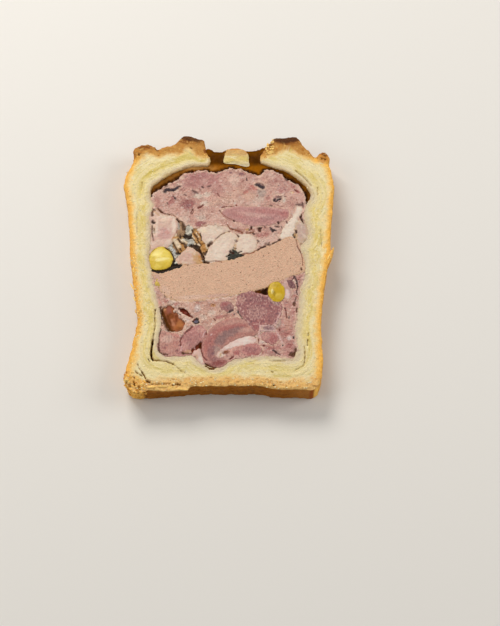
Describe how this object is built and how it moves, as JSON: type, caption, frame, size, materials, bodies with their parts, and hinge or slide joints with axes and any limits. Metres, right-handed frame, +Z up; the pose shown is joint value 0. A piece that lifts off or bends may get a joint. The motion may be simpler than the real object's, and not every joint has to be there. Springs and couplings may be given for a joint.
{
  "type": "pate en croute slice",
  "caption": "Slice of pate en croute lying on its cut face: layered meat, mousse, nuts and jelly in a baked dough crust with a chimney in its lid.",
  "frame": {"origin": "middle of the slice's box, on the surface that it lies on", "axes": "+Z up through the slice's thickness, +Y from the foot of the crust to its lid, +X to the right"},
  "size_m": [0.083, 0.1084, 0.011],
  "materials": {
    "dough": "matte",
    "jelly": "gloss",
    "forcemeat": "satin",
    "muscle": "satin",
    "poultry": "satin",
    "mousse": "satin",
    "fat": "satin",
    "pistachio": "satin",
    "mushroom": "satin",
    "truffle": "satin"
  },
  "bodies": {
    "root": {"black_mushroom_bit": "truffle", "black_mushroom_line": "truffle", "black_mushroom_tuft": "truffle", "black_mushroom_wedge": "truffle", "crust": "dough", "fat_side": "fat", "fat_strip": "fat", "fat_wedge": "fat", "forcemeat_left": "forcemeat", "forcemeat_right": "forcemeat", "forcemeat_top": "forcemeat", "jelly": "jelly", "jelly_drop": "jelly", "jelly_foot": "jelly", "jelly_link": "jelly", "jelly_pocket": "jelly", "jelly_seam": "jelly", "jelly_wedge": "jelly", "lid_plug": "dough", "liver_mousse": "mousse", "muscle_corner": "muscle", "muscle_curl": "muscle", "muscle_fascia": "muscle", "muscle_fold": "muscle", "muscle_large": "muscle", "muscle_left": "muscle", "muscle_lens": "muscle", "muscle_lobe": "muscle", "muscle_scrap": "muscle", "muscle_side": "muscle", "muscle_under": "muscle", "mushroom_curl": "mushroom", "mushroom_fold": "mushroom", "mushroom_foot": "mushroom", "mushroom_grey": "mushroom", "mushroom_pale": "mushroom", "mushroom_stalk": "mushroom", "mushroom_white": "mushroom", "pistachio_left": "pistachio", "pistachio_right": "pistachio", "poultry_left": "poultry", "poultry_lower": "poultry", "poultry_middle": "poultry", "poultry_right": "poultry", "poultry_side": "poultry", "poultry_strip": "poultry", "poultry_upper": "poultry", "truffle_eye": "truffle", "truffle_knot": "truffle", "truffle_shard": "truffle", "truffle_strip": "truffle"}
  },
  "joints": []
}
